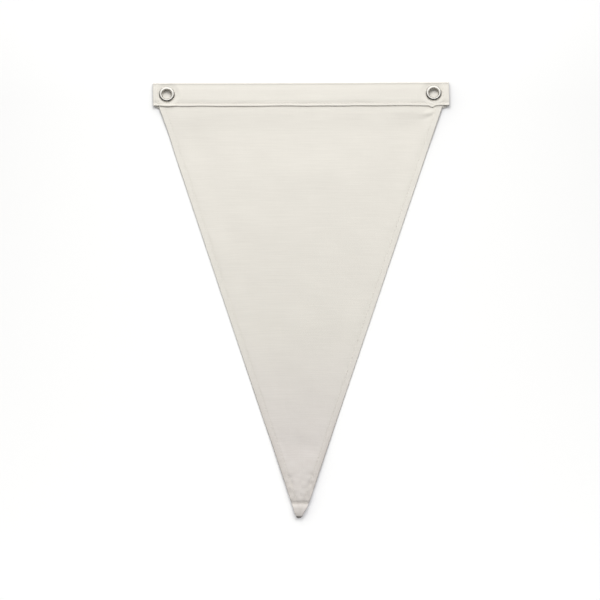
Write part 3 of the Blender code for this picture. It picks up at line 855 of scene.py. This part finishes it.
inner_stations = list(between(-HALF_WIDTH + 3 * MM, HALF_WIDTH - 3 * MM, 186))
end_stations = [HALF_WIDTH - inset * MM for inset in (0.25, 0.6, 1.0, 1.6, 2.3)]
near_seams = [centre + aside for centre in (LEFT_SEAM, RIGHT_SEAM) for aside in between(-1.2 * MM, 1.2 * MM, 9)]
both_ends = [way * x for x in (HALF_WIDTH, *end_stations) for way in (-1, 1)]
rows = []
for x in sorted(both_ends + inner_stations + near_seams):
    from_end = min(HALF_WIDTH - abs(x), EDGE_ROUNDING) / EDGE_ROUNDING
    rows.append(heading_row(x, squeeze=EDGE_THIN + (1 - EDGE_THIN) * math.sqrt(1 - (1 - from_end) ** 2)))
heading = skin("canvas_heading", rows, (len(rows[0]) - 2 * len(CAP_STEPS)) // 2, heading_canvas)

for x, y in EYELETS.values():
    bpy.ops.mesh.primitive_cylinder_add(vertices=64, radius=PUNCH_RADIUS, depth=30 * MM, location=(x, y, 0))
    punch = bpy.context.object
    hole = heading.modifiers.new("punched_hole", "BOOLEAN")
    hole.operation = "DIFFERENCE"
    hole.object = punch
    bpy.context.view_layer.objects.active = heading
    bpy.ops.object.modifier_apply(modifier=hole.name)
    bpy.data.objects.remove(punch)
heading.data.shade_smooth()
heading.data.set_sharp_from_angle(angle=SHARP)
print("heading after punching:", len(heading.data.polygons), "faces")

# %% [markdown]
# ## The seams
#
# A lockstitch shows as a row of short, plump stitches, each dipping into the cloth at both ends. One stitch is
# a small tapered tube that arches over the cloth, and a seam is many of them in one mesh, along a line of points that
# lie on the cloth. Each seam shows on the front and again on the back.

# %% One stitch, and a seam of them
STITCH_LENGTH = 3.0 * MM
STITCH_GAP = 0.55 * MM
THREAD_RADIUS = 0.25 * MM
STITCH_ARCH = 0.26 * MM
STITCH_SIDES = 6
STITCH_SHARES = (0.0, 0.08, 0.25, 0.5, 0.75, 0.92, 1.0)  # the rings along one stitch


def seam(name, points, up, sunk):
    """Stitches along a line of points on the cloth, on the side that up points to, sunk this far into it."""
    points = [Vector(p) for p in points]
    up = Vector(up)
    steps = [(b - a).length for a, b in zip(points, points[1:])]
    total, pitch = sum(steps), STITCH_LENGTH + STITCH_GAP
    count = max(1, int(total / pitch))
    ends = np.concatenate([[0], np.cumsum(steps)])
    table = np.array([tuple(p) for p in points])

    def at(distance):
        return Vector([float(np.interp(distance, ends, table[:, axis])) for axis in range(3)])

    rng = np.random.default_rng(len(name))
    verts, faces = [], []
    for k in range(count):
        start = (total - count * pitch + STITCH_GAP) / 2 + k * pitch + rng.uniform(-0.12, 0.12) * MM
        a, b = at(start), at(start + STITCH_LENGTH * rng.uniform(0.94, 1.04))
        along = (b - a).normalized()
        across = along.cross(up).normalized()
        shift = across * rng.uniform(-0.08, 0.08) * MM
        first = len(verts)
        for share in STITCH_SHARES:
            arch = math.sin(math.pi * share)
            centre = a.lerp(b, share) + up * (STITCH_ARCH * arch - sunk) + shift
            radius = THREAD_RADIUS * (0.35 + 0.65 * arch**0.4)
            for s in range(STITCH_SIDES):
                turn = 2 * math.pi * s / STITCH_SIDES
                verts.append(centre + (across * math.cos(turn) + up * math.sin(turn)) * radius)
        for ring in range(len(STITCH_SHARES) - 1):
            for s in range(STITCH_SIDES):
                t = (s + 1) % STITCH_SIDES
                low, high = first + ring * STITCH_SIDES, first + (ring + 1) * STITCH_SIDES
                faces.append((low + s, low + t, high + t, high + s))
        faces.append([first + s for s in range(STITCH_SIDES)][::-1])
        faces.append([first + (len(STITCH_SHARES) - 1) * STITCH_SIDES + s for s in range(STITCH_SIDES)])
    print(name, "has", count, "stitches")
    return closed_piece(name, [tuple(v) for v in verts], faces, thread)


print("one stitch every", round((STITCH_LENGTH + STITCH_GAP) / MM, 2), "mm")

# %% [markdown]
# ### Where the seams run
#
# Six seams hold the flag: one along each hem, one along the heading, one across each end of the heading, and a short
# one across the point. Their points come from the same height functions that shaped the cloth, so every stitch meets
# it. The back of each seam lies deeper in the cloth, because the flag's own weight presses it in.

# %% Sew the flag
def hem_points(side, front):
    """Points along a hem's seam, down one side of the panel, on its face or on the back of its hem."""
    points = []
    for y in between(195 * MM, CREASE_LEVEL + 1 * MM, 200):
        left, right = side_edges(y)
        half = (right - left) / 2
        inset = min(HEM_SEAM, 0.55 * half)
        x = left + inset if side == "left" else right - inset
        z = float(panel_face(x, y, inset) + panel_marks(x, y, inset))
        if not front:
            z = float(panel_face(x, y, inset)) - squash_at(y) * (CANVAS + 2 * HEM_PITCH)
        points.append((x, y, z))
    return points


def on_heading(x, y, front):
    """The point of the heading's front, or of its back, at this place along it."""
    leaned = float(lean(x, y))
    z = STACK + float(front_rise(x, y)) if front else 0.0
    return leaned, y, z + float(heading_lift(leaned))


def heading_points(front):
    """Points along the heading's lower edge, from end to end."""
    return [on_heading(x, float(front_low(x)) + STITCH_UP, front) for x in between(-147.5 * MM, 147.5 * MM, 240)]


def end_points(x, front):
    """Points down one of the heading's ends, clear of the fold and of the long seam."""
    levels = between(float(top_edge(x)) - 3 * MM, float(front_low(x)) + STITCH_UP + 1 * MM, 20)
    return [on_heading(x, y, front) for y in levels]


def tip_points(front):
    """Points across the folded point, clear of its two sides."""
    left, right = side_edges(CREASE_LEVEL)
    xs = between(left + 2.2 * MM, right - 2.2 * MM, 12)
    level = CREASE_LEVEL - TIP_SEAM_DROP
    thick = 0 if front else TIP_SQUASH * (CANVAS + 2 * HEM_PITCH)
    return [(x, level, float(panel_face(x, level, min(x - left, right - x))) - thick) for x in xs]


UP, DOWN = (0, 0, 1), (0, 0, -1)
FRONT_SUNK = 0.1 * MM
BACK_SUNK = 0.32 * MM  # the flag lies on these
seams = []
for front, up, sunk, word in ((True, UP, FRONT_SUNK, "front"), (False, DOWN, BACK_SUNK, "back")):
    for side in ("left", "right"):
        seams.append(seam(f"{side}_hem_seam_{word}", hem_points(side, front), up, sunk))
    seams.append(seam(f"heading_seam_{word}", heading_points(front), up, sunk))
    for side, x in (("left", LEFT_SEAM), ("right", RIGHT_SEAM)):
        seams.append(seam(f"{side}_end_seam_{word}", end_points(x, front), up, sunk))
    seams.append(seam(f"tip_seam_{word}", tip_points(front), up, sunk))
print("seams:", len(seams))

# %% [markdown]
# ## Eyelets and washers
#
# An eyelet is pressed from one disc: a domed flange that shows on the front, a barrel through the cloth, and an end
# that the setting tool curls out over a washer behind. Both are round, so each is one profile turned by a Screw
# modifier. The profile is drawn with many more points than the solid has, because its reflections show every corner.
# Setting squeezes the rings a little out of round, which is a scale along Y.

# %% Turn the eyelets
CROWN = 6.8 * MM  # the top of the dome
CLOTH_TOP = EYELET_DROP + STACK
TIGHT = 0.02 * MM  # what is left between metal and cloth, and between eyelet and washer
EYELET_OVAL = 0.95
EYELET_SHIFT = 0.15 * MM
RING_STEPS = 128


def turned(name, profile, centre):
    """A ring turned from a closed profile of (radius, height)."""
    mesh = bpy.data.meshes.new(name)
    count = len(profile)
    mesh.from_pydata([(r, 0, z) for r, z in profile], [(i, (i + 1) % count) for i in range(count)], [])
    piece = new_piece(name, mesh)
    piece.location = (*centre, 0)
    screw = piece.modifiers.new("turn", "SCREW")
    screw.steps = screw.render_steps = RING_STEPS
    screw.use_merge_vertices = True
    screw.merge_threshold = 0.000005
    screw.use_smooth_shade = True
    bpy.ops.object.modifier_apply(modifier=screw.name)
    for vertex in piece.data.vertices:
        vertex.co.y = vertex.co.y * EYELET_OVAL - EYELET_SHIFT
    piece.data.transform(piece.matrix_world)
    piece.location = (0, 0, 0)
    piece.data.materials.append(nickel)
    return piece


def eyelet_profile():
    """Up the barrel, over the dome to its rim, back in under it, down the barrel's outside and round the curl."""
    foot = CLOTH_TOP - EYELET_DISH + TIGHT
    profile = [(4.86 * MM, 3.4 * MM), (4.86 * MM, 5.4 * MM)]
    # Radius, and how far below the crown
    dome = [(4.88, 1.15), (4.93, 0.9), (5.02, 0.65), (5.15, 0.42), (5.3, 0.22), (5.48, 0.08), (5.7, 0.01)]
    dome += [(5.95, 0.0), (6.3, 0.0), (6.48, 0.04), (6.7, 0.12), (6.95, 0.22), (7.2, 0.32), (7.45, 0.43)]
    dome += [(7.7, 0.57), (7.92, 0.76), (8.08, 0.98), (8.17, 1.18), (8.2, 1.4)]
    profile += [(r * MM, CROWN - below * MM) for r, below in dome]
    profile += [(8.12 * MM, foot), (6.1 * MM, foot), (5.95 * MM, foot - 0.2 * MM)]
    profile += [(5.95 * MM, 0.75 * MM), (6.05 * MM, 0.6 * MM)]
    profile += ellipse((6.75 * MM, 0.3 * MM), (0.3 * MM, 0.3 * MM), 90, -90, 7)
    profile += ellipse((5.3 * MM, 0.6 * MM), (0.6 * MM, 0.6 * MM), 270, 180, 6)
    return profile + [(4.8 * MM, 1.6 * MM)]


def washer_profile():
    """Flat on top, with a rounded rim, and hollow below towards the curl."""
    top = EYELET_DROP - TIGHT
    profile = [(6.3 * MM, top), (8.1 * MM, top)]
    profile += ellipse((7.85 * MM, 0.95 * MM), (0.45 * MM, 0.7 * MM), 40, -180, 13)
    return profile + [(7.3 * MM, 1.0 * MM), (6.3 * MM, 1.0 * MM)]


metal = {}
for side, centre in EYELETS.items():
    metal["eyelet_" + side] = turned(f"{side}_eyelet_ring", eyelet_profile(), centre)
    metal["washer_" + side] = turned(f"{side}_eyelet_washer", washer_profile(), centre)
print("metal pieces:", sorted(metal))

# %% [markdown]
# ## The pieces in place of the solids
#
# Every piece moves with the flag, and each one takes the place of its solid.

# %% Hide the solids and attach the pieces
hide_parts("pennant_panel")
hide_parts("heading_band")
for node, piece in metal.items():
    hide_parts(node)
for piece in [panel, heading, *seams, *metal.values()]:
    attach(piece, "root")
print("pieces that ride on the flag:", 2 + len(seams) + len(metal))

# %% [markdown]
# ## Floor, light and camera
#
# The flag lies on white paper. The paper glows slightly, as overexposed paper seems to, so that it stays white and
# only the shadows near the flag show on it. Seen through an eyelet it is a trace warmer, because the light that
# reaches it there has been thrown to and fro between cloth and paper. Close to the flag it is a trace darker, because
# the cloth's raised edges hide a part of the room from it: an ambient occlusion node, leaning to the left where the
# room is brighter, measures how much is left open. This counts most by the point, which stands up highest. The paper
# sends no light of its own to the cloth: the world stands in for it, which keeps the dark lines under the heading and
# the point clean.

# %% Floor
PAPER_SIZE = 6.0
PAPER_DROP = 0.02 * MM
SHADE_REACH = 30 * MM
EYELET_VIEW = 6 * MM

bpy.ops.mesh.primitive_plane_add(size=PAPER_SIZE, location=(0, 0, -PAPER_DROP))
floor = bpy.context.object
floor.name = "paper_floor"
paper, tree, shader = new_material(
    "white_background_paper", Roughness=0.95, Specular_IOR_Level=0.1, Emission_Color=(1, 1, 1, 1)
)
place = add(tree, "ShaderNodeTexCoord").outputs["Object"]
in_open, shaded, in_eyelet = linear("#fafaf9"), linear("#dedee1"), linear("#f2eee6")
along = add(tree, "ShaderNodeSeparateXYZ", Vector=place).outputs["Y"]

# How strong the shade is: 0.3 beside the middle of the flag, more by the point and more by the heading
by_tip = add(tree, "ShaderNodeMapRange", _0=along, _1=-100 * MM, _2=-200 * MM, _3=0.3, _4=2.0).outputs[0]
by_heading = add(tree, "ShaderNodeMapRange", _0=along, _1=100 * MM, _2=200 * MM, _3=0.0, _4=0.8).outputs[0]
strength = add(tree, "ShaderNodeMath", _0=by_tip, _1=by_heading).outputs[0]
room = add(tree, "ShaderNodeCombineXYZ", X=-0.45, Y=0.3, Z=0.84).outputs[0]
openness = add(tree, "ShaderNodeAmbientOcclusion", Distance=SHADE_REACH, Normal=room).outputs["AO"]
hidden = add(tree, "ShaderNodeMath", SUBTRACT, _0=1.0, _1=openness).outputs[0]
shade = add(tree, "ShaderNodeMath", MULTIPLY, _0=hidden, _1=strength).outputs[0]
blend = {"data_type": "RGBA"}
colour = add(tree, "ShaderNodeMix", blend, _0=shade, _6=in_open, _7=shaded).outputs[2]

for x, y in EYELETS.values():
    away = add(tree, "ShaderNodeVectorMath", {"operation": "DISTANCE"}, _0=place, _1=(x, y, 0)).outputs["Value"]
    under = add(tree, "ShaderNodeMath", {"operation": "LESS_THAN"}, _0=away, _1=EYELET_VIEW).outputs[0]
    colour = add(tree, "ShaderNodeMix", blend, _0=under, _6=colour, _7=in_eyelet).outputs[2]
tree.links.new(colour, shader.inputs["Base Color"])
glow = add(tree, "ShaderNodeMapRange", _0=along, _1=-0.3, _2=0.2, _3=0.26, _4=0.0).outputs[0]
tree.links.new(glow, shader.inputs["Emission Strength"])
floor.data.materials.append(paper)
floor.visible_diffuse = False
print("paper:", floor.name, "with", len(tree.nodes), "nodes")

# %% [markdown]
# ### Light
#
# The light comes softly from beyond the heading, about 35 degrees off straight down: slopes that face the heading are
# bright, and the heading's underside is dark. A rectangular area light gives that direction and a short soft shadow.
# It is left out of mirror images, because the world has what the metal should mirror.

# %% Light
box_light = bpy.data.lights.new("soft_box", "AREA")
box_light.shape = "RECTANGLE"
box_light.size, box_light.size_y = 0.4, 0.35
box_light.energy = 5.3
lamp = bpy.data.objects.new("soft_box", box_light)
lamp.location = (-0.015, 0.65, 0.85)
lamp.visible_glossy = False
lamp.rotation_euler = (Vector((0, 0.05, 0)) - lamp.location).to_track_quat("-Z", "Y").to_euler()
bpy.context.scene.collection.objects.link(lamp)
print("lamp:", box_light.energy, "W, from", [round(c, 3) for c in lamp.location])

# %% [markdown]
# ### The world
#
# The world adds a wide bright patch of sky on the same side, nearly black towards the horizon so that folds keep
# their contrast, and a glow from below for the light that white paper throws back at the flag's edges. How nearly
# a direction points at the middle of the patch, which a dot product tells, gives its brightness.

# %% World
world = bpy.data.worlds.new("studio")
bpy.context.scene.world = world
world.use_nodes = True
sky = world.node_tree
direction = add(sky, "ShaderNodeTexCoord").outputs["Generated"]
towards, soft = {"operation": "DOT_PRODUCT"}, {"interpolation_type": "SMOOTHSTEP"}
bright_patch = Vector((0, 0.5, 0.86)).normalized()
patch = add(sky, "ShaderNodeVectorMath", towards, _0=direction, _1=bright_patch).outputs["Value"]
above = add(sky, "ShaderNodeMapRange", soft, _0=patch, _1=0.45, _2=0.95, _3=0.04, _4=1.32).outputs[0]
sideways = add(sky, "ShaderNodeSeparateXYZ", Vector=direction).outputs["X"]
beside = add(sky, "ShaderNodeMath", ABSOLUTE, _0=sideways).outputs[0]
paper_side = add(sky, "ShaderNodeVectorMath", towards, _0=direction, _1=(0, 0.55, -0.83)).outputs["Value"]
beside = add(sky, "ShaderNodeMath", MULTIPLY_ADD, _0=beside, _1=0.5, _2=paper_side).outputs[0]
below = add(sky, "ShaderNodeMapRange", _0=beside, _1=0.3, _2=0.95, _3=0.0, _4=0.7).outputs[0]
glow = add(sky, "ShaderNodeMath", _0=above, _1=below).outputs[0]
sky.nodes["Background"].inputs["Color"].default_value = (1, 1, 1, 1)
sky.links.new(glow, sky.nodes["Background"].inputs["Strength"])
print("world:", len(sky.nodes), "nodes")

# %% [markdown]
# ### Camera
#
# The flag was photographed from straight above and from far off, as its sides show no perspective. So the camera
# stands 3 m over it with a long lens, worked out from how much paper one pixel covers.

# %% Camera
PIXELS = 600  # across the picture
PIXEL = 1.0067 * MM  # what one of them covers
DISTANCE = 3.0
SENSOR = 36
camera = bpy.data.objects.new("camera", bpy.data.cameras.new("camera"))
camera.data.sensor_width = SENSOR
camera.data.lens = SENSOR * DISTANCE / (PIXELS * PIXEL)
camera.data.clip_end = 20
camera.location = (-1.05 * PIXEL, 0.25 * PIXEL, DISTANCE)
bpy.context.scene.collection.objects.link(camera)
bpy.context.scene.camera = camera
bpy.context.scene.view_settings.view_transform = "Standard"
bpy.context.scene.view_settings.look = "None"
print("lens:", round(camera.data.lens, 1), "mm")

# %% [markdown]
# ## The end
#
# The finished cloth's box should agree with the box of the solids to within a millimetre, because the cloth follows
# the same named sizes. This cell only brings the scene up to date.

# %% The end
bpy.context.view_layer.update()
